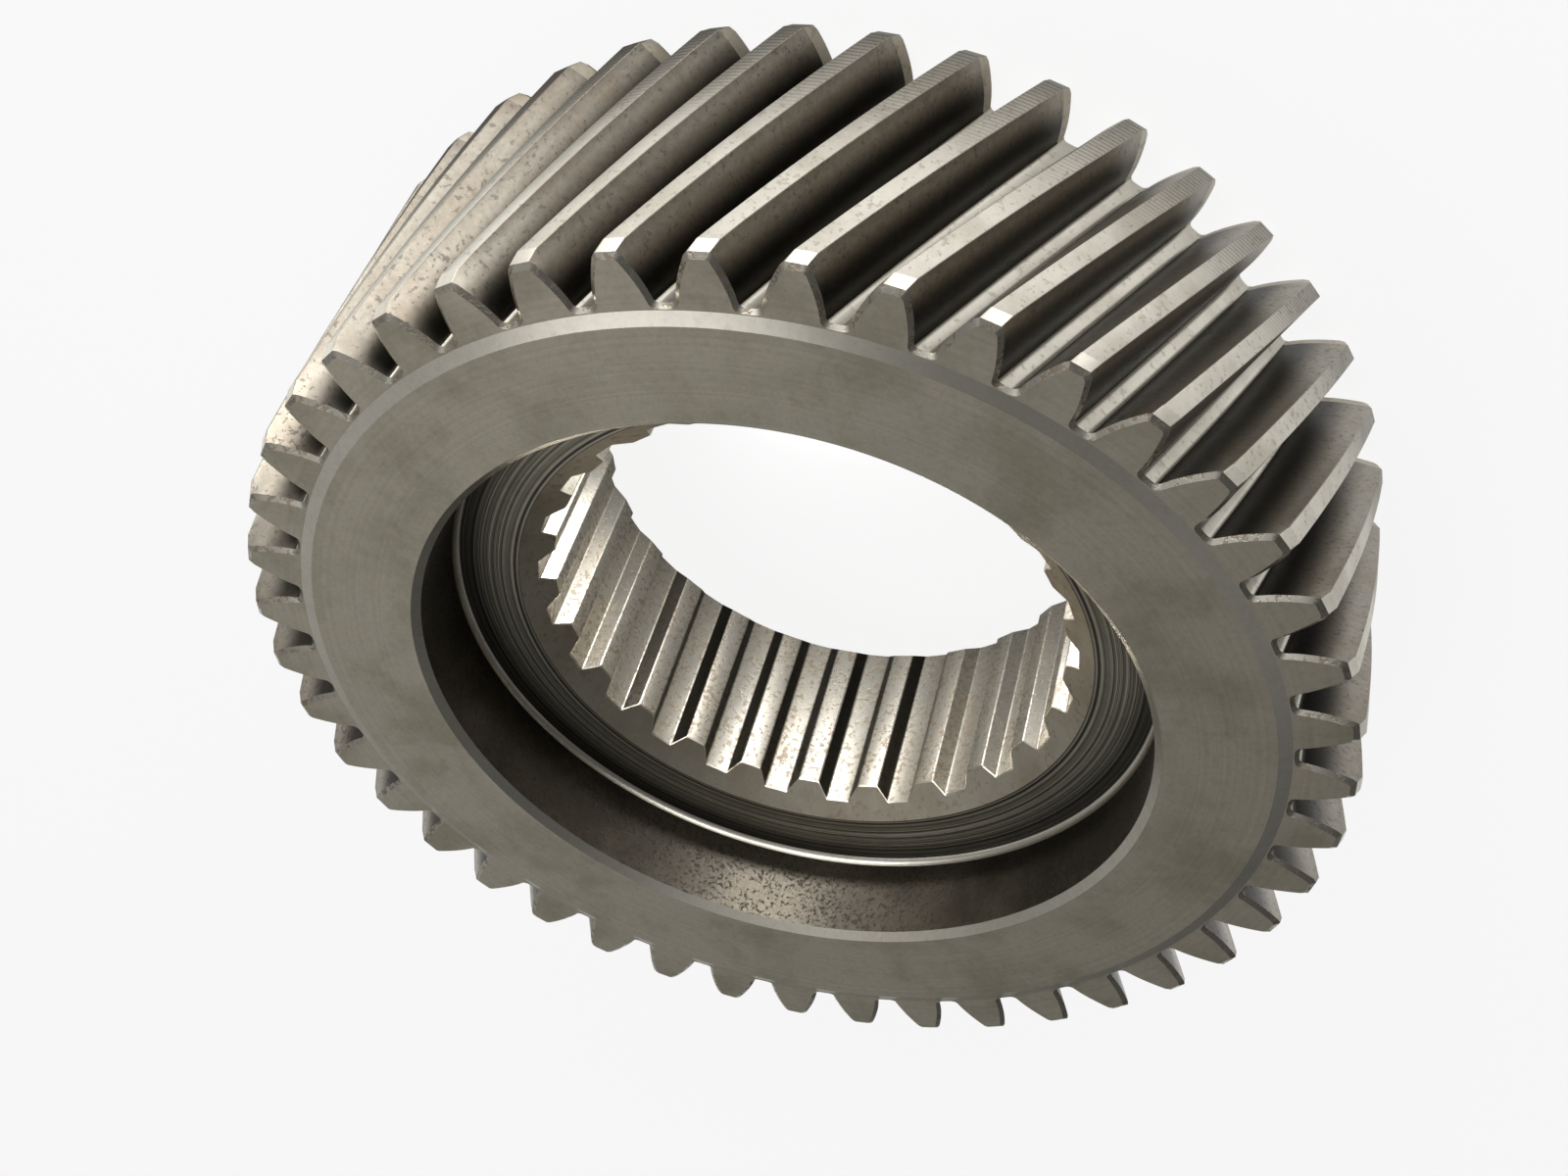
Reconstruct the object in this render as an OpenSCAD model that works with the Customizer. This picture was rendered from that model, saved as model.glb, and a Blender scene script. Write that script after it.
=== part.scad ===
// Helical sun gear, turned and hobbed from one piece of steel.
// The axis is +Z and the back face lies on z = 0, with the counterbore facing up.

/* [Gear teeth] */
// Number of teeth
tooth_count = 43; // [36:1:60]
// Module in the plane normal to the tooth
normal_module = 1.75; // [1.5:0.05:2.5]
// Helix angle on the pitch cylinder, right hand
helix_angle = 24.5; // [0:0.5:30]
// Pressure angle in the plane normal to the tooth
pressure_angle = 20; // [17.5:0.5:25]
// Height of a tooth above the pitch cylinder
addendum = 1.75; // [1.2:0.05:2]
// Depth of a tooth space below the pitch cylinder
dedendum = 2.75; // [1.8:0.05:3]
// Radius where a tooth runs into the root
root_fillet = 0.45; // [0.2:0.05:0.5]
// Thinning of each tooth on the pitch circle for running clearance
backlash = 0.1; // [0:0.02:0.3]
// Length of the toothed rim along the axis
face_width = 27.4; // [18:0.2:50]
// Length of the turned chamfer at both ends of the tooth tips
tip_chamfer_length = 1.2; // [0.4:0.1:2.5]
// Depth of that chamfer below the tip circle
tip_chamfer_depth = 0.5; // [0.1:0.05:1]

/* [Hub faces] */
// How far each hub face stands proud of the tooth ends
face_step = 0.4; // [0.2:0.1:2]
// Width of the bevel from each hub face out to the tooth roots
face_bevel = 1.4; // [0.4:0.1:3]
// How far that bevel runs on into the tooth spaces
bevel_run_in = 0.15; // [0.05:0.05:0.5]

/* [Counterbore] */
// Diameter of the counterbore
counterbore_d = 57; // [50:0.5:62]
// Depth of the counterbore from the front face
counterbore_depth = 8.1; // [3:0.1:11]
// Chamfer at the mouth of the counterbore
counterbore_chamfer = 0.6; // [0.2:0.1:1.5]
// Fillet in the bottom corner of the counterbore
counterbore_fillet = 1; // [0.2:0.1:2]

/* [Internal spline] */
// Number of spline grooves
spline_count = 25; // [16:1:32]
// Diameter across the spline lands
spline_minor_d = 41.4; // [38:0.1:42.5]
// Diameter across the bottoms of the spline grooves
spline_major_d = 43.6; // [42.8:0.1:45]
// Width of a spline land
land_width = 1.7; // [1.2:0.05:2.2]
// Width of the bottom of a spline groove
groove_width = 1.95; // [1.2:0.05:2.2]
// Turn of the grooves against the teeth of the front end
spline_turn = 0.8; // [-7.2:0.1:7.2]
// Diameter of the lead-in at the counterbore floor
front_lead_d = 46.2; // [45.5:0.1:49]
// Diameter of the lead-in at the back face
back_lead_d = 49; // [45.5:0.1:56]
// Slope of both lead-ins against the end faces
lead_angle = 38.5; // [20:0.5:60]

/* [Hidden] */
$fn = 180;
steel = "#a9a59a";

// Transverse gear geometry
transverse_module = normal_module / cos(helix_angle);
transverse_angle = atan(tan(pressure_angle) / cos(helix_angle));
pitch_r = tooth_count * transverse_module / 2;
base_r = pitch_r * cos(transverse_angle);
tip_r = pitch_r + addendum;
root_r = pitch_r - dedendum;
tooth_pitch = 360 / tooth_count;
turn_per_mm = tan(helix_angle) / pitch_r * 180 / PI;
pitch_half_angle = (PI * transverse_module / 2 - backlash) / 2 / pitch_r * 180 / PI;

// Steps of the flank and of the helix
flank_steps = 3;
helix_steps = 5;
// Depth that the foot of a tooth is sunk into the hub
root_sink = 0.15;

// Heights along the axis
rim_bottom = face_step;
rim_top = rim_bottom + face_width;
front_z = rim_top + face_step;
shoulder_z = front_z - counterbore_depth;

// Hub and bore radii
hub_face_r = root_r - face_bevel;
bevel_depth = face_step + bevel_run_in;
counterbore_r = counterbore_d / 2;
minor_r = spline_minor_d / 2;
major_r = spline_major_d / 2;
front_lead_r = front_lead_d / 2;
back_lead_r = back_lead_d / 2;
front_lead_h = (front_lead_r - minor_r) * tan(lead_angle);
back_lead_h = (back_lead_r - minor_r) * tan(lead_angle);
cut_clearance = 1;

function involute(angle) = tan(angle) * 180 / PI - angle;

// Half the angle that a tooth fills at radius r
function half_tooth(r) =
    pitch_half_angle + involute(transverse_angle) - involute(acos(min(1, base_r / r)));

function on_circle(r, angle) = [r * cos(angle), r * sin(angle)];

// One flank from its sunk foot to the tip, as [radius, angle from the tooth's centre]
function flank(top_r) =
    let (
        foot_r = root_r + root_fillet,
        sunk = root_fillet + root_sink,
        wide = sunk / root_r * 180 / PI
    )
    concat(
        [[root_r - root_sink, half_tooth(foot_r) + wide]],
        [for (i = [0:flank_steps])
            let (r = foot_r + (top_r - foot_r) * i / flank_steps) [r, half_tooth(r)]]
    );

// Section of one tooth with its tip at top_r, turned about the axis
function tooth_section(top_r, turn) =
    let (side = flank(top_r), last = len(side) - 1)
    concat(
        [for (p = side) on_circle(p[0], turn - p[1])],
        [for (i = [last:-1:0]) on_circle(side[i][0], turn + side[i][1])]
    );

// Levels of a tooth as [height above the rim's bottom, tip radius]
plain_width = face_width - 2 * tip_chamfer_length;
tooth_levels = concat(
    [[0, tip_r - tip_chamfer_depth]],
    [for (i = [0:helix_steps]) [tip_chamfer_length + plain_width * i / helix_steps, tip_r]],
    [[face_width, tip_r - tip_chamfer_depth]]
);

// One helical tooth lofted through its levels, on +X at the front end
module tooth() {
    count = len(tooth_section(tip_r, 0));
    top = len(tooth_levels) - 1;
    points = [for (level = tooth_levels)
        for (p = tooth_section(level[1], (level[0] - face_width) * turn_per_mm))
            [p[0], p[1], rim_bottom + level[0]]];
    sides = [for (k = [0:top - 1], i = [0:count - 1])
        let (a = k * count + i, b = k * count + (i + 1) % count)
        each [[a, a + count, b], [b, a + count, b + count]]];
    caps = [[for (i = [0:count - 1]) i], [for (i = [count - 1:-1:0]) top * count + i]];
    polyhedron(points, concat(sides, caps));
}

// Hub up to the tooth roots, with a bevel round each face
module hub() {
    rotate_extrude()
        polygon([
            [0, 0], [hub_face_r, 0], [root_r, bevel_depth],
            [root_r, front_z - bevel_depth], [hub_face_r, front_z], [0, front_z]
        ]);
}

// Space of the counterbore: filleted floor corner and chamfered mouth
module counterbore() {
    corner = [counterbore_r - counterbore_fillet, shoulder_z + counterbore_fillet];
    mouth_z = front_z - counterbore_chamfer;
    mouth_r = counterbore_r + counterbore_chamfer;
    rotate_extrude()
        difference() {
            polygon([
                [0, shoulder_z], [counterbore_r, shoulder_z], [counterbore_r, mouth_z],
                [mouth_r, front_z], [mouth_r, front_z + cut_clearance], [0, front_z + cut_clearance]
            ]);
            difference() {
                translate(corner - [0, counterbore_fillet])
                    square(counterbore_fillet);
                translate(corner)
                    circle(counterbore_fillet, $fn = 48);
            }
        }
}

// Splined hole with a conical lead-in at each end
module splined_hole() {
    land_half = asin(land_width / 2 / minor_r);
    groove_half = asin(groove_width / 2 / major_r);
    groove_pitch = 360 / spline_count;
    outline = [for (i = [0:spline_count - 1])
        let (centre = i * groove_pitch + spline_turn)
        each [
            on_circle(minor_r, centre - groove_pitch / 2 + land_half),
            on_circle(major_r, centre - groove_half),
            on_circle(major_r, centre + groove_half),
            on_circle(minor_r, centre + groove_pitch / 2 - land_half)
        ]];
    translate([0, 0, -cut_clearance])
        linear_extrude(shoulder_z + 2 * cut_clearance)
            polygon(outline);
    translate([0, 0, shoulder_z - front_lead_h])
        cylinder(h = front_lead_h, r1 = minor_r, r2 = front_lead_r);
    cylinder(h = back_lead_h, r1 = back_lead_r, r2 = minor_r);
}

module sun_gear() {
    color(steel)
        union() {
            difference() {
                hub();
                counterbore();
                splined_hole();
            }
            for (i = [0:tooth_count - 1])
                rotate(i * tooth_pitch)
                    tooth();
        }
}

sun_gear();
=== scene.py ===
"""A worn helical sun gear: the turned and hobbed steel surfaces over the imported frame."""

import bisect
import math

import bmesh
import bpy
from mathutils import Matrix, Vector


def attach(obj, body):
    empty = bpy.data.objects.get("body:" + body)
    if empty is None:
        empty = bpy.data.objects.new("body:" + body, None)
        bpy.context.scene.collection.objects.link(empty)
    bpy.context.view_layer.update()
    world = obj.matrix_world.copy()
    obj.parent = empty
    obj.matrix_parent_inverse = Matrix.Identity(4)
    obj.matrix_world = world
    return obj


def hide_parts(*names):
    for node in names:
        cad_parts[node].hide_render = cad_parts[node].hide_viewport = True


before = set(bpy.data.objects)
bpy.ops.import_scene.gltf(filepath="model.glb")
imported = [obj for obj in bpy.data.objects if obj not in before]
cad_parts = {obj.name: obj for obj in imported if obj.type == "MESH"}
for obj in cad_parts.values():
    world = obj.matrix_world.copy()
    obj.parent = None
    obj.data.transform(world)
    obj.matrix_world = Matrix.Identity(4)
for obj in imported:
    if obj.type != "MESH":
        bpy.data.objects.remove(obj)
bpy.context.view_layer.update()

MM = 0.001

# Gear teeth, in millimetres and degrees
TOOTH_COUNT = 43
NORMAL_MODULE = 1.75
HELIX_ANGLE = 24.5
PRESSURE_ANGLE = 20
ADDENDUM = 1.75
DEDENDUM = 2.75
ROOT_FILLET = 0.5
BACKLASH = 0.1
FACE_WIDTH = 27.4
TIP_CHAMFER_LENGTH = 1.2
TIP_CHAMFER_DEPTH = 0.5
TIP_ROUND = 0.14

# Broken edges of the tooth ends: their height along the axis, and their width on the
# counter-clockwise and on the clockwise side of each tooth
END_EDGE = 0.3
CCW_EDGE_WIDTH = 0.4
CW_EDGE_WIDTH = 0.15

# Hub faces and counterbore
FACE_STEP = 0.4
FACE_BEVEL = 1.4
BEVEL_RUN_IN = 0.15
COUNTERBORE_R = 28.5
COUNTERBORE_DEPTH = 8.1
COUNTERBORE_CHAMFER = 0.6
COUNTERBORE_FILLET = 0.6

# Internal spline
SPLINE_COUNT = 25
MINOR_R = 20.7
MAJOR_R = 21.8
LAND_WIDTH = 1.7
GROOVE_WIDTH = 1.95
SPLINE_TURN = 0.8
SPLINE_ROUND = 0.1
SPLINE_EDGE = 0.08
FRONT_LEAD_R = 23.1
BACK_LEAD_R = 24.5
LEAD_ANGLE = 38.5

# Fineness of the mesh
FLANK_STEPS = 7
FILLET_STEPS = 4
ROUND_STEPS = 3
HELIX_STEPS = 12
SPLINE_ROUND_STEPS = 2
SMOOTH_ANGLE = 28

# Width of the flat rings that join the rim to the splined hole, slack for finding an edge
# loop, and the distance within which vertices merge
BRIDGE_MARGIN = 0.5
LOOP_SLACK = 0.01
MERGE_DISTANCE = 0.0005

# Worked-out gear geometry
HELIX = math.radians(HELIX_ANGLE)
TRANSVERSE_MODULE = NORMAL_MODULE / math.cos(HELIX)
TRANSVERSE_ANGLE = math.atan(math.tan(math.radians(PRESSURE_ANGLE)) / math.cos(HELIX))
PITCH_R = TOOTH_COUNT * TRANSVERSE_MODULE / 2
BASE_R = PITCH_R * math.cos(TRANSVERSE_ANGLE)
TIP_R = PITCH_R + ADDENDUM
ROOT_R = PITCH_R - DEDENDUM
TOOTH_PITCH = 2 * math.pi / TOOTH_COUNT
TURN_PER_MM = math.tan(HELIX) / PITCH_R
PITCH_HALF_ANGLE = (math.pi * TRANSVERSE_MODULE / 2 - BACKLASH) / 2 / PITCH_R

# Heights along the axis, and the hub bevel and lead-ins that go with them
RIM_BOTTOM = FACE_STEP
RIM_TOP = RIM_BOTTOM + FACE_WIDTH
FRONT_Z = RIM_TOP + FACE_STEP
SHOULDER_Z = FRONT_Z - COUNTERBORE_DEPTH
HUB_FACE_R = ROOT_R - FACE_BEVEL
BEVEL_SLOPE = FACE_BEVEL / (FACE_STEP + BEVEL_RUN_IN)
BEVEL_FOOT_R = HUB_FACE_R + FACE_STEP * BEVEL_SLOPE
LEAD_SLOPE = math.tan(math.radians(LEAD_ANGLE))

# Telling faces apart: slack in millimetres and in slope, and how far a face's normal leans
# outward when it is a spline flank, or a tooth top or root
SURFACE_SLACK = 0.02
SPLINE_FLANK_LEAN = -0.75
TOOTH_TOP_LEAN = 0.8

# Surfaces that run into each other without a sharp edge
ROUNDED_SURFACES = ("hobbed_flank", "tooth_top", "tooth_root", "worn_end")

# Measures for tool marks and painted shade: distance from the axis, or distance along a direction.
# The far side is the one across the bore from the camera, and the spline flanks on it get painted
# shade
RADIUS = "radius"
AXIS = (0, 0, 1)
FAR_SIDE = (-0.9, 0.436, 0)

# Steel, oil and stain colours. The black of oil is also the black of the painted shade bands, and
# the near-black wall steel is painted shade
WARM_STEEL = (0.52, 0.48, 0.39)
PALE_STEEL = (0.80, 0.76, 0.66)
BRIGHT_STEEL = (0.70, 0.665, 0.58)
CREAM_STEEL = (0.56, 0.505, 0.40)
# Near-black steel of the counterbore wall: painted shade in the recess
SHADE_DARKENED_STEEL = (0.07, 0.062, 0.05)
OILED_STEEL = (0.33, 0.3, 0.25)
# Black of oil specks, and of the painted shade bands
BLACK_OIL_AND_SHADE = (0.022, 0.02, 0.016)
BROWN_STAIN = (0.25, 0.19, 0.13)
DARK_STAIN = (0.13, 0.113, 0.088)
GREEN_STAIN = (0.315, 0.298, 0.22)
RUST_SPECK = (0.22, 0.15, 0.085)

# Noise of the worn steel, and the spans of it that become masks
BLOTCH_NOISE = dict(scale=150, detail=5, roughness=0.6)
BLOTCH_SPAN = (0.4, 0.7)
GRAIN_NOISE = dict(scale=1700, detail=3, roughness=0.7)
NOISE_MEAN = 0.5
PIT_NOISE = dict(detail=3, roughness=0.65)
PIT_SPAN = (0.68, 0.76)
GATHER_NOISE = dict(scale=240, detail=2, roughness=0.6)
GATHER_SHARE = 0.22

# How much stain and pits roughen the steel, and the strength of the bump
STAIN_ROUGHENS = 0.1
PIT_ROUGHENS = 0.25
BUMP_STRENGTH = 0.6

# Uneven and even tool marks: noise, and the spans of noise and wave that become lines
LINE_NOISE = dict(detail=2, roughness=0.7)
LINE_NOISE_SPAN = (0.3, 0.7)
LINE_WAVE_SPAN = (-0.2, 0.8)

# Settings of each surface's finish, as steel_finish takes them
FINISHES = {
    # Hobbed flanks: painted shade, blackening towards the tooth root
    "hobbed_flank": dict(
        steel=OILED_STEEL, stain=BROWN_STAIN, pit=BLACK_OIL_AND_SHADE, roughness=0.36,
        stain_amount=0.35, grain_amount=0.7, pit_amount=0.35, pit_scale=2300,
        along=RADIUS, painted_shade_span=(42.4, 40), painted_shade_amount=0.92,
    ),
    "tooth_root": dict(
        steel=PALE_STEEL, stain=WARM_STEEL, pit=BROWN_STAIN, roughness=0.36,
        pit_amount=0.3, pit_scale=1500,
    ),
    "worn_end": dict(
        steel=WARM_STEEL, stain=BROWN_STAIN, pit=BROWN_STAIN, roughness=0.4,
        pit_amount=0.4, pit_scale=1500,
    ),
    # Tooth tops: painted shade, darker towards the back end
    "tooth_top": dict(
        steel=PALE_STEEL, stain=WARM_STEEL, pit=RUST_SPECK, roughness=0.38,
        stain_amount=0.6, pit_amount=0.35, pit_scale=2200,
        along=AXIS, lines=2400, evenness=1.0, marks_depth=1.5, marks_shade=0.45,
        marks_span=(15, 6), painted_shade_span=(21, 2), painted_shade_amount=0.6,
    ),
    "turned_face": dict(
        steel=WARM_STEEL, stain=GREEN_STAIN, pit=BROWN_STAIN, roughness=0.4,
        stain_amount=0.65, grain_amount=0.5, pit_amount=0.2, pit_scale=1700,
        along=RADIUS, lines=2500, marks_depth=0.3, marks_shade=0.12,
    ),
    "bright_edge": dict(
        steel=PALE_STEEL, stain=WARM_STEEL, pit=BROWN_STAIN, roughness=0.32,
        pit_amount=0.15, pit_scale=2600,
    ),
    "tooth_edge": dict(
        steel=PALE_STEEL, stain=WARM_STEEL, pit=BROWN_STAIN, roughness=0.3,
        pit_amount=0.8, pit_scale=1900, pit_cover=0.06,
    ),
    "hub_bevel": dict(
        steel=PALE_STEEL, stain=GREEN_STAIN, pit=BROWN_STAIN, roughness=0.3,
        stain_amount=0.15, pit_amount=0.1, pit_scale=1500,
    ),
    # Counterbore wall: its near-black steel is painted shade in the recess
    "counterbore_wall": dict(
        steel=SHADE_DARKENED_STEEL, stain=DARK_STAIN, pit=BLACK_OIL_AND_SHADE, roughness=0.36,
        grain_amount=0.9, pit_amount=0.55, pit_scale=3000, pit_cover=0.05,
    ),
    # Turned shoulder: painted shade, darker in the corner by the counterbore wall
    "turned_shoulder": dict(
        steel=WARM_STEEL, stain=GREEN_STAIN, pit=BLACK_OIL_AND_SHADE, roughness=0.36,
        along=RADIUS, lines=4200, marks_depth=1.6, marks_shade=0.92,
        painted_shade_span=(25.6, 27.4), painted_shade_amount=0.8, bump=0.025,
    ),
    "lead_in": dict(
        steel=WARM_STEEL, stain=BROWN_STAIN, pit=RUST_SPECK, roughness=0.4,
        pit_amount=0.4, pit_scale=1300,
    ),
    "spline_land": dict(
        steel=BRIGHT_STEEL, stain=CREAM_STEEL, pit=RUST_SPECK, roughness=0.37,
        grain_amount=0.6, pit_amount=0.7, pit_scale=2300, pit_cover=0.05,
    ),
    "spline_groove": dict(
        steel=BRIGHT_STEEL, stain=CREAM_STEEL, pit=RUST_SPECK, roughness=0.37,
        stain_amount=0.6, grain_amount=0.5, pit_amount=0.6, pit_scale=1900, pit_cover=0.06,
    ),
    # Spline flanks: painted shade, blackened on the far side of the bore
    "spline_flank": dict(
        steel=BRIGHT_STEEL, stain=CREAM_STEEL, pit=RUST_SPECK, roughness=0.34,
        grain_amount=0.5, pit_amount=0.6, pit_scale=2300, pit_cover=0.05,
        along=FAR_SIDE, painted_shade_span=(15.5, 18.5), painted_shade_amount=0.96,
    ),
}

# Floor as the camera sees it: its own glow, and a faint matt share that takes the shadow.
# Light that bounces off it meets plain pale paper
FLOOR_SIZE = 6
FLOOR_GLOW = 0.88
FLOOR_SHADE = 0.12
FLOOR_PAPER = 0.8

# Floor as the steel mirrors it: its levels near the gear and away from it, and the shade's
# centre and reach in millimetres
FLOOR_NEAR = 0.1
FLOOR_MIRRORED = 0.95
FLOOR_SHADE_CENTRE = (-3, 12, 0)
FLOOR_SHADE_REACH = 60

# Spans in millimetres where the mirrored floor fades, on the far side and at one side
FLOOR_BEHIND = (90, 240)
FLOOR_DIM_SIDE = (0, -1, 0)
FLOOR_BESIDE = (36, 60)
FLOOR_DIM_SHARE = 0.45

# Faint light spot on the floor under the bore, in millimetres
BORE_SPOT = (-10, 4, 0)
BORE_SPOT_FADE = (14, 6)
BORE_SPOT_LEVEL = 0.06

# Small light in the open back of the bore: place, side it faces away from, and size in
# millimetres, and power in watts
BORE_LIGHT_PLACE = (12, 1, 1.5)
BORE_LIGHT_FROM = (0.75, 0.05, -0.66)
BORE_LIGHT_SIZE = 9
BORE_LIGHT_POWER = 0.0135

# Level of the dim studio, and its soft panels as (direction, level, focus)
SKY_DIM = 0.04
SKY_PANELS = [
    ((-0.5, 0.62, 0.54), 0.41, 4),
    ((-0.53, -0.25, 0.81), 0.15, 12),
    ((0.98, 0.02, 0.08), 1.1, 3),
]

# Lamps as (name, direction, distance and size in metres, power in watts), round one centre
LAMP_CENTRE = (0, 0, 0.014)
LAMPS = [
    ("key", (0.98, 0.1, 0.16), 0.5, 0.3, 1.5),
    ("side", (0.79, -0.6, 0.1), 0.5, 0.3, 1.1),
    ("overhead", (-0.03, 0.36, 0.93), 0.6, 0.25, 0.36),
]

# Camera, fitted to the photograph with tooth 0 of the front end at the top
CAMERA_PLACE = (110.48, -55.54, 124.79)
CAMERA_FORWARD = (-0.63683, 0.36159, -0.68096)
CAMERA_UP = (0.72566, -0.01734, -0.68784)
PHOTO_WIDTH = 1600
FOCAL_PIXELS = 2102.3
CENTRE_SHIFT = (-27.96, -70.53)
SENSOR_WIDTH = 36
NEAR_CLIP = 0.01

# Colour sockets of a mix node, which has more than one socket of each name
MIX_FIRST_COLOUR = 6
MIX_SECOND_COLOUR = 7
MIX_COLOUR_RESULT = 2


def involute(angle):
    """Involute of a pressure angle."""
    return math.tan(angle) - angle


def half_tooth(radius):
    """Half the angle that a tooth fills at a radius."""
    here = math.acos(min(1, BASE_R / radius))
    return PITCH_HALF_ANGLE + involute(TRANSVERSE_ANGLE) - involute(here)


def quarter_turn(steps):
    """Angles from 0 to a right angle in equal steps, with both ends."""
    return [math.pi / 2 * i / steps for i in range(steps + 1)]


def tooth_side():
    """One side of a tooth from the root to the tip, as (radius, angle from the tooth's centre)."""
    foot_r = ROOT_R + ROOT_FILLET
    foot = half_tooth(foot_r)
    wide = ROOT_FILLET / ROOT_R
    side = []
    for bend in quarter_turn(FILLET_STEPS)[:-1]:
        radius = ROOT_R + ROOT_FILLET * (1 - math.cos(bend))
        side.append((radius, foot + wide * (1 - math.sin(bend))))
    top_r = TIP_R - TIP_ROUND
    for i in range(FLANK_STEPS + 1):
        radius = foot_r + (top_r - foot_r) * i / FLANK_STEPS
        side.append((radius, half_tooth(radius)))
    for bend in quarter_turn(ROUND_STEPS)[1:]:
        narrower = TIP_ROUND / TIP_R * (1 - math.cos(bend))
        side.append((top_r + TIP_ROUND * math.sin(bend), half_tooth(top_r) - narrower))
    return side


def tooth_outline():
    """All teeth as (radius, angle), counter-clockwise, with tooth 0 on +X."""
    side = tooth_side()
    outline = []
    for tooth in range(TOOTH_COUNT):
        centre = tooth * TOOTH_PITCH
        outline.append((ROOT_R, centre - TOOTH_PITCH / 2))
        outline += [(r, centre - a) for r, a in side]
        outline.append((TIP_R, centre))
        outline += [(r, centre + a) for r, a in reversed(side)]
    return outline


def spline_outline():
    """The corners of the splined hole as (radius, angle), counter-clockwise."""
    land_half = math.asin(LAND_WIDTH / 2 / MINOR_R)
    groove_half = math.asin(GROOVE_WIDTH / 2 / MAJOR_R)
    pitch = 2 * math.pi / SPLINE_COUNT
    corners = []
    for i in range(SPLINE_COUNT):
        centre = i * pitch + math.radians(SPLINE_TURN)
        corners += [
            (MINOR_R, centre - pitch / 2 + land_half),
            (MAJOR_R, centre - groove_half),
            (MAJOR_R, centre + groove_half),
            (MINOR_R, centre + pitch / 2 - land_half),
        ]
    return corners


def polar(radius, angle, height):
    """Point in metres from a radius and a height in millimetres."""
    return Vector((radius * math.cos(angle), radius * math.sin(angle), height)) * MM


def add_ring(name, outline, height):
    """Adds a circle with one vertex for each point of an outline and moves its vertices there."""
    bpy.ops.object.select_all(action="DESELECT")
    bpy.ops.mesh.primitive_circle_add(
        vertices=len(outline), radius=TIP_R * MM, fill_type="NOTHING"
    )
    ring = bpy.context.object
    ring.name = name
    for vertex, (radius, angle) in zip(ring.data.vertices, outline):
        vertex.co = polar(radius, angle, height)
    return ring


def extrude_loop(piece, place):
    """Extrudes the selected edge loop and moves each new vertex to place(radius, angle, height)."""
    bpy.ops.mesh.extrude_edges_move()
    mesh = bmesh.from_edit_mesh(piece.data)
    for v in mesh.verts:
        if v.select:
            radius = math.hypot(v.co.x, v.co.y) / MM
            v.co = polar(*place(radius, math.atan2(v.co.y, v.co.x), v.co.z / MM))
    bmesh.update_edit_mesh(piece.data)


def select_loops(piece, height, inner_r=0, outer_r=TIP_R):
    """Selects the boundary loops of a piece at a height and between two radii."""
    bpy.ops.mesh.select_mode(type="VERT")
    bpy.ops.mesh.select_all(action="DESELECT")
    mesh = bmesh.from_edit_mesh(piece.data)
    for v in mesh.verts:
        radius = math.hypot(v.co.x, v.co.y) / MM
        on_radius = inner_r - LOOP_SLACK <= radius <= outer_r + LOOP_SLACK
        on_height = abs(v.co.z / MM - height) <= LOOP_SLACK
        v.select = on_radius and on_height and v.is_boundary
    mesh.select_flush_mode()
    bmesh.update_edit_mesh(piece.data)
    bpy.ops.mesh.select_mode(type="EDGE")


def helix_to(height, clip=math.inf):
    """Place function that carries a vertex along the helix, with the tips cut at clip."""
    def place(radius, angle, old_height):
        return min(radius, clip), angle + (height - old_height) * TURN_PER_MM, height
    return place


def ring_at(radius, height):
    """Place function that draws a loop in to one circle."""
    def place(old_radius, angle, old_height):
        return radius, angle, height
    return place


def carry(value, places, moved):
    """Carries a value from one rising row of places to another, straight between neighbours."""
    i = min(bisect.bisect_left(places, value, 1), len(places) - 1)
    share = (value - places[i - 1]) / (places[i] - places[i - 1])
    return moved[i - 1] + share * (moved[i] - moved[i - 1])


def broken_edge(height, clip):
    """Place function for an end face's outline: the teeth drawn in by their broken edges."""
    turn = (height - RIM_TOP) * TURN_PER_MM
    tip = half_tooth(clip)
    foot = half_tooth(ROOT_R + ROOT_FILLET)
    middle = TOOTH_PITCH / 2

    def place(radius, angle, old_height):
        angle += (height - old_height) * TURN_PER_MM
        tooth = round((angle - turn) / TOOTH_PITCH) * TOOTH_PITCH + turn
        draw_in = (CW_EDGE_WIDTH if angle < tooth else CCW_EDGE_WIDTH) / PITCH_R
        drawn = (0, tip - draw_in, foot - draw_in, middle)
        moved = carry(abs(angle - tooth), (0, tip, foot, middle), drawn)
        return min(radius, clip) - END_EDGE, tooth + math.copysign(moved, angle - tooth), height
    return place


def close_tooth_ends(piece, sign, rim_end, face_z):
    """Tip chamfer, broken edges, end faces and hub bevel at the front (1) or back (-1)."""
    clip = TIP_R - TIP_CHAMFER_DEPTH
    edge_clip = clip + TIP_CHAMFER_DEPTH * END_EDGE / TIP_CHAMFER_LENGTH
    extrude_loop(piece, helix_to(rim_end - sign * END_EDGE, edge_clip))
    extrude_loop(piece, broken_edge(rim_end, clip))
    extrude_loop(piece, ring_at(BEVEL_FOOT_R, rim_end))
    extrude_loop(piece, ring_at(HUB_FACE_R, face_z))


def cut_counterbore(piece):
    """Chamfered mouth, wall, filleted corner and floor of the counterbore."""
    extrude_loop(piece, ring_at(COUNTERBORE_R + COUNTERBORE_CHAMFER, FRONT_Z))
    extrude_loop(piece, ring_at(COUNTERBORE_R, FRONT_Z - COUNTERBORE_CHAMFER))
    extrude_loop(piece, ring_at(COUNTERBORE_R, SHOULDER_Z + COUNTERBORE_FILLET))
    for bend in quarter_turn(FILLET_STEPS)[1:]:
        radius = COUNTERBORE_R - COUNTERBORE_FILLET * (1 - math.cos(bend))
        height = SHOULDER_Z + COUNTERBORE_FILLET * (1 - math.sin(bend))
        extrude_loop(piece, ring_at(radius, height))
    extrude_loop(piece, ring_at(FRONT_LEAD_R + BRIDGE_MARGIN, SHOULDER_Z))


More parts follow.
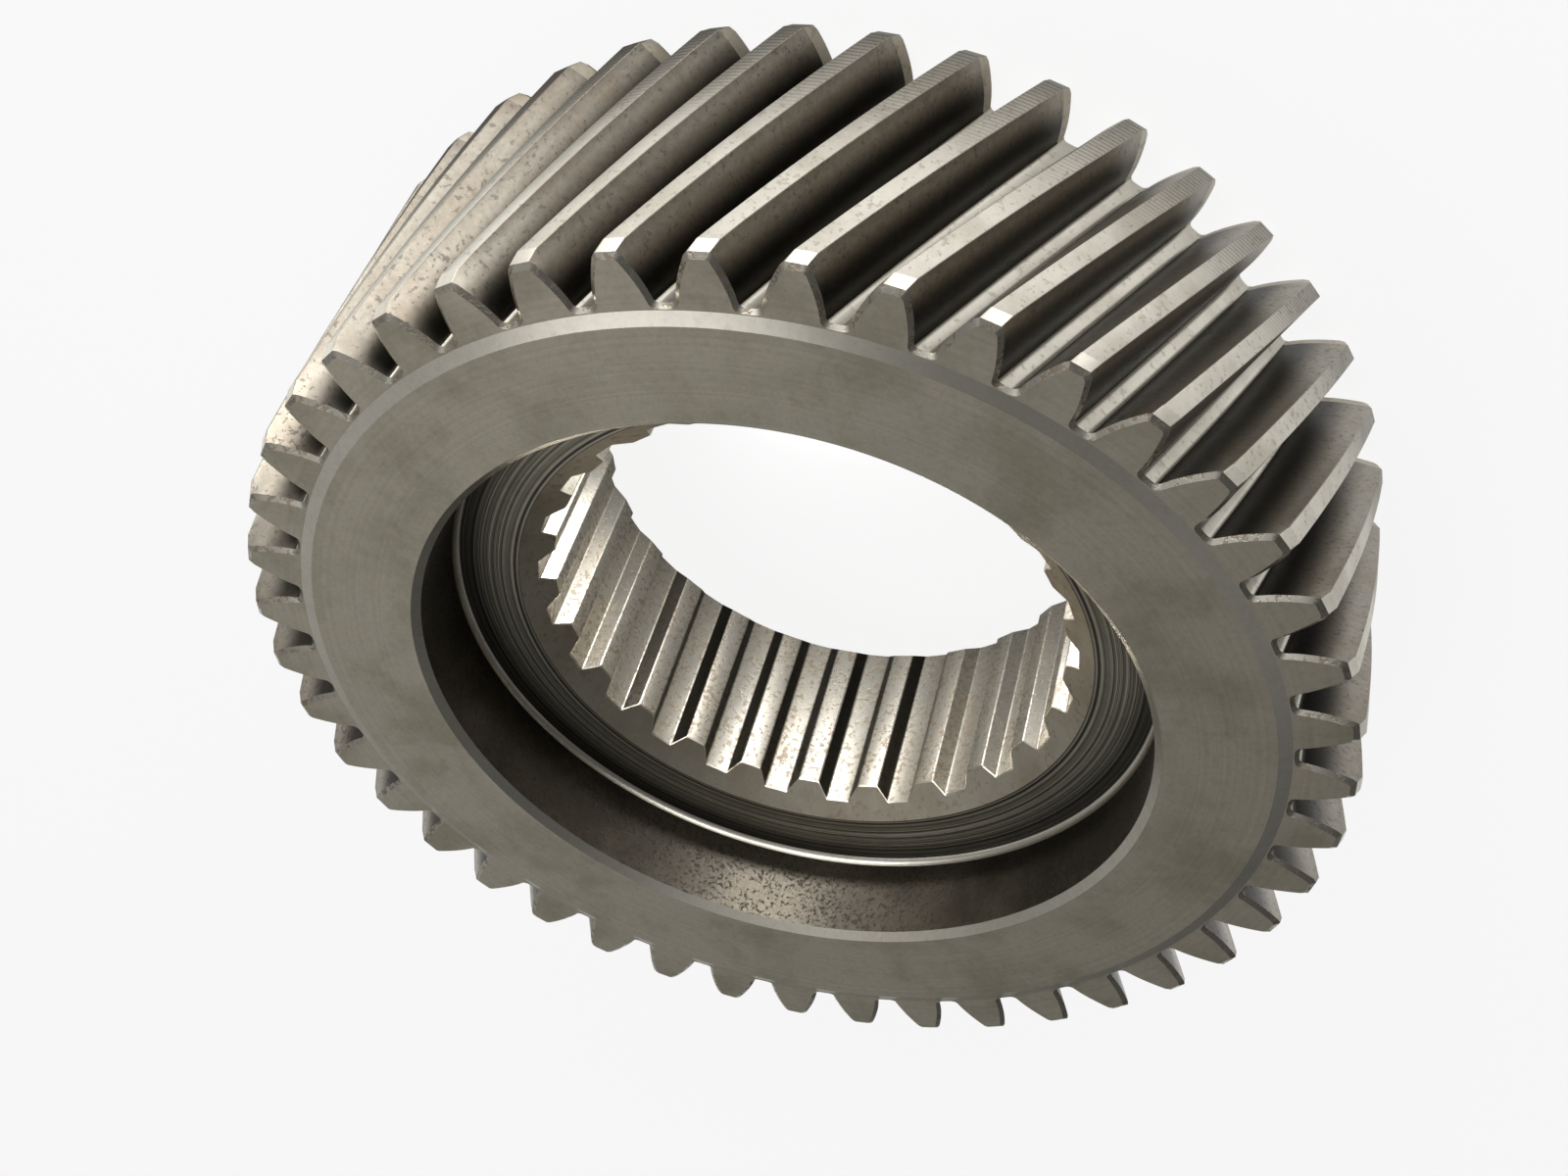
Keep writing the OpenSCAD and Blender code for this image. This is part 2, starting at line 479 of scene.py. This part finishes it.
def make_rim():
    """Teeth, hub faces and counterbore, worked inwards from the tooth outline."""
    plain_low = RIM_BOTTOM + TIP_CHAMFER_LENGTH
    plain_high = RIM_TOP - TIP_CHAMFER_LENGTH
    low_turn = (plain_low - RIM_TOP) * TURN_PER_MM
    outline = [(r, a + low_turn) for r, a in tooth_outline()]
    rim = add_ring("sun_gear_steel", outline, plain_low)
    bpy.ops.object.mode_set(mode="EDIT")
    bpy.ops.mesh.select_mode(type="EDGE")
    bpy.ops.mesh.select_all(action="SELECT")
    for i in range(1, HELIX_STEPS + 1):
        height = plain_low + (plain_high - plain_low) * i / HELIX_STEPS
        extrude_loop(rim, helix_to(height))
    close_tooth_ends(rim, 1, RIM_TOP, FRONT_Z)
    cut_counterbore(rim)
    select_loops(rim, plain_low)
    close_tooth_ends(rim, -1, RIM_BOTTOM, 0)
    extrude_loop(rim, ring_at(BACK_LEAD_R + BRIDGE_MARGIN, 0))
    bpy.ops.object.mode_set(mode="OBJECT")
    return rim


def make_spline():
    """The splined hole between its two conical lead-ins, with rounded corners."""
    def below_front_lead(radius, angle, height):
        return radius, angle, SHOULDER_Z - (FRONT_LEAD_R - radius) * LEAD_SLOPE - SPLINE_EDGE

    def over_edge(radius, angle, height):
        return radius + SPLINE_EDGE, angle, height + SPLINE_EDGE * (1 + LEAD_SLOPE)

    def to_back_lead(radius, angle, height):
        return radius, angle, (BACK_LEAD_R - radius) * LEAD_SLOPE

    middle = SHOULDER_Z / 2
    hole = add_ring("splined_hole", spline_outline(), middle)
    bpy.ops.object.mode_set(mode="EDIT")
    bpy.ops.mesh.select_mode(type="VERT")
    bpy.ops.mesh.select_all(action="SELECT")
    bpy.ops.mesh.bevel(offset=SPLINE_ROUND * MM, segments=SPLINE_ROUND_STEPS, affect="VERTICES")
    bpy.ops.mesh.select_mode(type="EDGE")
    bpy.ops.mesh.select_all(action="SELECT")
    bpy.ops.mesh.subdivide(number_cuts=1)
    bpy.ops.mesh.select_all(action="SELECT")
    extrude_loop(hole, below_front_lead)
    extrude_loop(hole, over_edge)
    extrude_loop(hole, ring_at(FRONT_LEAD_R, SHOULDER_Z))
    select_loops(hole, middle)
    extrude_loop(hole, to_back_lead)
    extrude_loop(hole, ring_at(BACK_LEAD_R, 0))
    bpy.ops.object.mode_set(mode="OBJECT")
    return hole


def bridge_flat(piece, inner_r, height):
    """Closes the flat ring between the spline's lead-in and the loop just outside it."""
    select_loops(piece, height, inner_r, inner_r + BRIDGE_MARGIN)
    bpy.ops.mesh.bridge_edge_loops()


def make_gear():
    """The whole gear as one closed mesh."""
    rim = make_rim()
    hole = make_spline()
    bpy.ops.object.select_all(action="DESELECT")
    hole.select_set(True)
    rim.select_set(True)
    bpy.context.view_layer.objects.active = rim
    bpy.ops.object.join()
    bpy.ops.object.mode_set(mode="EDIT")
    bridge_flat(rim, FRONT_LEAD_R, SHOULDER_Z)
    bridge_flat(rim, BACK_LEAD_R, 0)
    bpy.ops.mesh.select_all(action="SELECT")
    bpy.ops.mesh.remove_doubles(threshold=MERGE_DISTANCE * MM)
    bpy.ops.mesh.normals_make_consistent(inside=False)
    bpy.ops.object.mode_set(mode="OBJECT")
    bpy.ops.object.shade_smooth_by_angle(angle=math.radians(SMOOTH_ANGLE))
    return rim


def feed(tree, socket, value):
    """Links a socket to another one, or sets its value."""
    if isinstance(value, bpy.types.NodeSocket):
        tree.links.new(value, socket)
    else:
        socket.default_value = value


def add_node(tree, kind, **values):
    """Adds a shader node, and feeds its inputs or sets its properties by name."""
    node = tree.nodes.new(kind)
    for name, value in values.items():
        socket = node.inputs.get(name.replace("_", " ").title())
        if socket:
            feed(tree, socket, value)
        else:
            setattr(node, name, value)
    return node


def math_node(tree, operation, first, second=0.0):
    """A math node whose inputs are sockets or numbers."""
    node = add_node(tree, "ShaderNodeMath", operation=operation)
    feed(tree, node.inputs[0], first)
    feed(tree, node.inputs[1], second)
    return node.outputs[0]


def fade_node(tree, value, low, high):
    """A smooth mask that rises from 0 to 1 as value goes from low to high."""
    node = add_node(
        tree, "ShaderNodeMapRange", interpolation_type="SMOOTHSTEP",
        value=value, from_min=low, from_max=high,
    )
    return node.outputs["Result"]


def span_node(tree, measure, span):
    """A smooth mask of a measure over a span in millimetres, from none to full."""
    return fade_node(tree, measure, span[0] * MM, span[1] * MM)


def mix_values(tree, share, first, second):
    """A mix of two numbers, as sockets or values."""
    node = add_node(tree, "ShaderNodeMix", data_type="FLOAT", factor=share, a=first, b=second)
    return node.outputs["Result"]


def mix_colours(tree, share, first, second):
    """A mix of two colours, as sockets or values."""
    node = add_node(tree, "ShaderNodeMix", data_type="RGBA", factor=share)
    feed(tree, node.inputs[MIX_FIRST_COLOUR], first)
    feed(tree, node.inputs[MIX_SECOND_COLOUR], second)
    return node.outputs[MIX_COLOUR_RESULT]


def noise_node(tree, **settings):
    """A noise texture's value."""
    return add_node(tree, "ShaderNodeTexNoise", **settings).outputs["Fac"]


def dot_node(tree, vector, direction):
    """How far a vector reaches along a direction."""
    node = add_node(tree, "ShaderNodeVectorMath", operation="DOT_PRODUCT")
    feed(tree, node.inputs[0], vector)
    feed(tree, node.inputs[1], direction)
    return node.outputs["Value"]


def measure_node(tree, coordinates, measure):
    """Distance from the axis, or distance along a direction."""
    if measure != RADIUS:
        return dot_node(tree, coordinates, measure)
    level = add_node(tree, "ShaderNodeVectorMath", operation="MULTIPLY")
    feed(tree, level.inputs[0], coordinates)
    feed(tree, level.inputs[1], (1, 1, 0))
    length = add_node(tree, "ShaderNodeVectorMath", operation="LENGTH")
    feed(tree, length.inputs[0], level.outputs[0])
    return length.outputs["Value"]


def rgba(colour):
    """An opaque colour for a socket."""
    return (*colour, 1)


def new_group(name, inputs, output_kinds):
    """A shader node group with named sockets: the group, its given sockets and its end node."""
    group = bpy.data.node_groups.new(name, "ShaderNodeTree")
    for in_out, sockets in (("INPUT", inputs), ("OUTPUT", output_kinds)):
        for socket, kind in sockets.items():
            group.interface.new_socket(socket, in_out=in_out, socket_type="NodeSocket" + kind)
    given = group.nodes.new("NodeGroupInput").outputs
    return group, given, group.nodes.new("NodeGroupOutput")


def make_worn_steel():
    """Blotchy stain, fine grain and dark pits over a steel colour."""
    group, given, made = new_group(
        "worn_steel",
        {
            "Coordinates": "Vector", "Steel": "Color", "Stain": "Color", "Pit": "Color",
            "Stain Amount": "Float", "Grain Amount": "Float", "Pit Amount": "Float",
            "Pit Scale": "Float", "Pit Cover": "Float", "Roughness": "Float",
        },
        {"Color": "Color", "Roughness": "Float", "Height": "Float"},
    )
    where = given["Coordinates"]
    blotch = fade_node(group, noise_node(group, vector=where, **BLOTCH_NOISE), *BLOTCH_SPAN)
    stain = math_node(group, "MULTIPLY", blotch, given["Stain Amount"])
    grain = noise_node(group, vector=where, **GRAIN_NOISE)
    grain = math_node(group, "SUBTRACT", grain, NOISE_MEAN)
    grain = math_node(group, "MULTIPLY", grain, given["Grain Amount"])
    gather = noise_node(group, vector=where, **GATHER_NOISE)
    gather = math_node(group, "MULTIPLY", gather, GATHER_SHARE)
    gather = math_node(group, "ADD", gather, given["Pit Cover"])
    specks = noise_node(group, vector=where, scale=given["Pit Scale"], **PIT_NOISE)
    pit = fade_node(group, math_node(group, "ADD", specks, gather), *PIT_SPAN)
    pit = math_node(group, "MULTIPLY", pit, given["Pit Amount"])
    stained = mix_colours(group, stain, given["Steel"], given["Stain"])
    lift = math_node(group, "ADD", grain, 1.0)
    grained = add_node(group, "ShaderNodeHueSaturation", color=stained, value=lift)
    colour = mix_colours(group, pit, grained.outputs["Color"], given["Pit"])
    from_stain = math_node(group, "MULTIPLY", stain, STAIN_ROUGHENS)
    from_pits = math_node(group, "MULTIPLY", pit, PIT_ROUGHENS)
    rough = math_node(group, "ADD", given["Roughness"], from_stain)
    rough = math_node(group, "ADD", rough, from_pits)
    feed(group, made.inputs["Color"], colour)
    feed(group, made.inputs["Roughness"], rough)
    feed(group, made.inputs["Height"], math_node(group, "SUBTRACT", grain, pit))
    return group


def make_tool_marks():
    """Parallel lines left by a cutting tool, as a height along one measure, from uneven to even."""
    group, given, made = new_group(
        "tool_marks",
        {"Along": "Float", "Lines": "Float", "Evenness": "Float"},
        {"Height": "Float"},
    )
    fine = noise_node(
        group, noise_dimensions="1D", w=given["Along"], scale=given["Lines"], **LINE_NOISE
    )
    uneven = fade_node(group, fine, *LINE_NOISE_SPAN)
    turns = math_node(group, "MULTIPLY", given["Along"], given["Lines"])
    wave = math_node(group, "SINE", math_node(group, "MULTIPLY", turns, 2 * math.pi))
    even = fade_node(group, wave, *LINE_WAVE_SPAN)
    feed(group, made.inputs["Height"], mix_values(group, given["Evenness"], uneven, even))
    return group


WORN_STEEL = make_worn_steel()
TOOL_MARKS = make_tool_marks()


def steel_finish(name, steel, stain, pit, roughness, stain_amount=0.5, grain_amount=0.25,
                 pit_amount=0.0, pit_scale=900, pit_cover=0.0, along=RADIUS, lines=0,
                 evenness=0.0, marks_depth=0.0, marks_shade=0.0, marks_span=None,
                 painted_shade_span=None, painted_shade_amount=0.0, bump=0.012):
    """One steel surface: worn colour, with tool marks and a band of painted shade where it has
    them.

    Tool marks, as lines to the metre, and the painted shade follow the measure that along names,
    and their spans are in millimetres of it, from none to full. The bump's depth is in millimetres
    too.
    """
    material = bpy.data.materials.new(name)
    material.use_nodes = True
    tree = material.node_tree
    place = tree.nodes.new("ShaderNodeTexCoord").outputs["Object"]
    worn = add_node(
        tree, "ShaderNodeGroup", node_tree=WORN_STEEL, coordinates=place,
        steel=rgba(steel), stain=rgba(stain), pit=rgba(pit), roughness=roughness,
        stain_amount=stain_amount, grain_amount=grain_amount,
        pit_amount=pit_amount, pit_scale=pit_scale, pit_cover=pit_cover,
    )
    colour = worn.outputs["Color"]
    height = worn.outputs["Height"]
    if lines or painted_shade_span:
        distance = measure_node(tree, place, along)
    if lines:
        marks = add_node(
            tree, "ShaderNodeGroup", node_tree=TOOL_MARKS,
            along=distance, lines=lines, evenness=evenness,
        ).outputs["Height"]
        if marks_span:
            marks = math_node(tree, "MULTIPLY", marks, span_node(tree, distance, marks_span))
        height = math_node(tree, "ADD", height, math_node(tree, "MULTIPLY", marks, marks_depth))
        shade = math_node(tree, "MULTIPLY", marks, marks_shade)
        colour = mix_colours(tree, shade, colour, rgba(pit))
    # Painted shade: a band of the surface darkened towards black
    if painted_shade_span:
        painted_shade = span_node(tree, distance, painted_shade_span)
        painted_shade = math_node(tree, "MULTIPLY", painted_shade, painted_shade_amount)
        colour = mix_colours(tree, painted_shade, colour, rgba(BLACK_OIL_AND_SHADE))
    relief = add_node(
        tree, "ShaderNodeBump", strength=BUMP_STRENGTH, distance=bump * MM, height=height
    )
    shader = tree.nodes["Principled BSDF"]
    feed(tree, shader.inputs["Metallic"], 1)
    feed(tree, shader.inputs["Base Color"], colour)
    feed(tree, shader.inputs["Roughness"], worn.outputs["Roughness"])
    feed(tree, shader.inputs["Normal"], relief.outputs["Normal"])
    return material


def surface_of(centre, normal):
    """Name of the surface that a face of the gear belongs to, by its place and slope."""
    radius = math.hypot(centre.x, centre.y) / MM
    height = centre.z / MM
    outward = (normal.x * centre.x + normal.y * centre.y) / (radius * MM)
    level = abs(normal.z) > 1 - SURFACE_SLACK
    upright = abs(normal.z) < SURFACE_SLACK
    if radius < FRONT_LEAD_R + SURFACE_SLACK and upright:
        if outward > SPLINE_FLANK_LEAN:
            return "spline_flank"
        return "spline_land" if radius < (MINOR_R + MAJOR_R) / 2 else "spline_groove"
    if radius < BACK_LEAD_R + SURFACE_SLACK and not level and height < SHOULDER_Z + SURFACE_SLACK:
        front_edge = radius < MAJOR_R + SPLINE_EDGE and height > SHOULDER_Z / 2
        return "bright_edge" if front_edge else "lead_in"
    if radius > BEVEL_FOOT_R - SURFACE_SLACK:
        return "turned_face" if level else tooth_surface(radius, height, outward)
    if level:
        sunk = SURFACE_SLACK < height < FRONT_Z - SURFACE_SLACK
        return "turned_shoulder" if sunk else "turned_face"
    if upright:
        return "counterbore_wall"
    return "hub_bevel" if radius > HUB_FACE_R else "bright_edge"


def tooth_surface(radius, height, outward):
    """Name of the surface of a face on the teeth, apart from their end faces."""
    from_back = height - RIM_BOTTOM
    from_front = RIM_TOP - height
    if min(from_back, from_front) < END_EDGE:
        return "tooth_edge"
    if outward > TOOTH_TOP_LEAN:
        if radius < PITCH_R:
            return "tooth_root"
        return "bright_edge" if from_front < TIP_CHAMFER_LENGTH else "tooth_top"
    return "worn_end" if from_back < TIP_CHAMFER_LENGTH else "hobbed_flank"


def part_surfaces(piece, rounded):
    """Marks the edges sharp where two surfaces meet, apart from the rounded ones."""
    meeting = {}
    for face in piece.data.polygons:
        for edge in face.edge_keys:
            meeting.setdefault(edge, set()).add(face.material_index)
    for edge in piece.data.edges:
        pair = meeting[edge.key]
        if len(pair) > 1 and not pair.issubset(rounded):
            edge.use_edge_sharp = True


def dress(piece):
    """Gives each face of the gear the finish of its own surface."""
    names = list(FINISHES)
    for name in names:
        piece.data.materials.append(steel_finish(name, **FINISHES[name]))
    for face in piece.data.polygons:
        face.material_index = names.index(surface_of(face.center, face.normal))
    part_surfaces(piece, {names.index(name) for name in ROUNDED_SURFACES})


def distance_node(tree, coordinates, centre):
    """Level distance from a centre given in millimetres."""
    shift = [-x * MM for x in centre]
    moved = add_node(tree, "ShaderNodeMapping", vector=coordinates, location=shift)
    return measure_node(tree, moved.outputs[0], RADIUS)


def mirrored_floor(tree):
    """Level of the floor in the steel: shaded by the gear, and dimmed behind and beside it."""
    place = tree.nodes.new("ShaderNodeTexCoord").outputs["Object"]
    away = distance_node(tree, place, FLOOR_SHADE_CENTRE)
    outside = span_node(tree, away, (TIP_R, FLOOR_SHADE_REACH))
    spot = span_node(tree, distance_node(tree, place, BORE_SPOT), BORE_SPOT_FADE)
    spot = math_node(tree, "MULTIPLY", spot, BORE_SPOT_LEVEL)
    behind = span_node(tree, dot_node(tree, place, FAR_SIDE), FLOOR_BEHIND)
    beside = span_node(tree, dot_node(tree, place, FLOOR_DIM_SIDE), FLOOR_BESIDE)
    beside = math_node(tree, "MULTIPLY", beside, FLOOR_DIM_SHARE)
    dim = math_node(tree, "MAXIMUM", behind, beside)
    lit = math_node(tree, "MAXIMUM", outside, spot)
    lit = math_node(tree, "MULTIPLY", lit, math_node(tree, "SUBTRACT", 1.0, dim))
    level = add_node(
        tree, "ShaderNodeMapRange", value=lit, to_min=FLOOR_NEAR, to_max=FLOOR_MIRRORED
    )
    return level.outputs["Result"]


def make_floor():
    """White floor that shows as white, with the gear's soft shade where the steel mirrors it."""
    bpy.ops.mesh.primitive_plane_add(size=FLOOR_SIZE)
    floor = bpy.context.object
    floor.name = "floor"
    material = bpy.data.materials.new("white_floor")
    material.use_nodes = True
    tree = material.node_tree
    tree.nodes.clear()
    ray = tree.nodes.new("ShaderNodeLightPath").outputs
    level = mix_values(tree, ray["Is Camera Ray"], mirrored_floor(tree), FLOOR_GLOW)
    glow = add_node(tree, "ShaderNodeEmission", strength=level)
    faint = add_node(tree, "ShaderNodeBsdfDiffuse", color=rgba([FLOOR_SHADE] * 3))
    paper = add_node(tree, "ShaderNodeBsdfDiffuse", color=rgba([FLOOR_PAPER] * 3))
    shown = tree.nodes.new("ShaderNodeAddShader")
    feed(tree, shown.inputs[0], glow.outputs[0])
    feed(tree, shown.inputs[1], faint.outputs[0])
    seen = math_node(tree, "MAXIMUM", ray["Is Camera Ray"], ray["Is Glossy Ray"])
    pick = add_node(tree, "ShaderNodeMixShader", fac=seen)
    feed(tree, pick.inputs[1], paper.outputs[0])
    feed(tree, pick.inputs[2], shown.outputs[0])
    add_node(tree, "ShaderNodeOutputMaterial", surface=pick.outputs[0])
    floor.data.materials.append(material)


def sky_panel(tree, way, towards, level, focus):
    """Brightness of a soft round panel of sky that faces one direction."""
    lean = dot_node(tree, way, Vector(towards).normalized())
    facing = math_node(tree, "MAXIMUM", lean)
    return math_node(tree, "MULTIPLY", math_node(tree, "POWER", facing, focus), level)


def make_sky():
    """Dim studio with soft panels, plain white to the camera."""
    world = bpy.data.worlds.new("studio")
    bpy.context.scene.world = world
    world.use_nodes = True
    tree = world.node_tree
    background = tree.nodes["Background"]
    background.inputs["Color"].default_value = (1, 1, 1, 1)
    way = tree.nodes.new("ShaderNodeTexCoord").outputs["Generated"]
    level = SKY_DIM
    for panel in SKY_PANELS:
        level = math_node(tree, "ADD", sky_panel(tree, way, *panel), level)
    camera = tree.nodes.new("ShaderNodeLightPath").outputs["Is Camera Ray"]
    feed(tree, background.inputs["Strength"], math_node(tree, "MAXIMUM", level, camera))


def add_light(name, place, back, size, power):
    """A square light at a place, turned with its back to a direction."""
    bpy.ops.object.light_add(type="AREA", location=place)
    light = bpy.context.object
    light.name = name
    light.data.size = size
    light.data.energy = power
    light.rotation_euler = back.to_track_quat("Z", "Y").to_euler()
    return light


def light_the_stage():
    """Floor, sky, lamps, and the light that comes up through the bore from its open back."""
    make_floor()
    make_sky()
    bore_light = add_light(
        "bore_light", Vector(BORE_LIGHT_PLACE) * MM, Vector(BORE_LIGHT_FROM),
        BORE_LIGHT_SIZE * MM, BORE_LIGHT_POWER,
    )
    bore_light.visible_camera = False
    for name, direction, distance, size, power in LAMPS:
        way = Vector(direction).normalized()
        add_light(name, way * distance + Vector(LAMP_CENTRE), way, size, power)


def place_camera():
    """The photograph's camera, with its focal length and shift in the photograph's pixels."""
    data = bpy.data.cameras.new("photo_view")
    camera = bpy.data.objects.new("photo_view", data)
    bpy.context.scene.collection.objects.link(camera)
    forward = Vector(CAMERA_FORWARD).normalized()
    right = forward.cross(Vector(CAMERA_UP)).normalized()
    up = right.cross(forward)
    turn = Matrix((right, up, -forward)).transposed().to_4x4()
    camera.matrix_world = Matrix.Translation(Vector(CAMERA_PLACE) * MM) @ turn
    data.sensor_width = SENSOR_WIDTH
    data.lens = SENSOR_WIDTH * FOCAL_PIXELS / PHOTO_WIDTH
    data.shift_x = -CENTRE_SHIFT[0] / PHOTO_WIDTH
    data.shift_y = CENTRE_SHIFT[1] / PHOTO_WIDTH
    data.clip_start = NEAR_CLIP
    bpy.context.scene.camera = camera


gear = make_gear()
dress(gear)
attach(gear, "root")
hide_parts("sun_gear")
light_the_stage()
place_camera()
bpy.context.scene.view_settings.view_transform = "Standard"
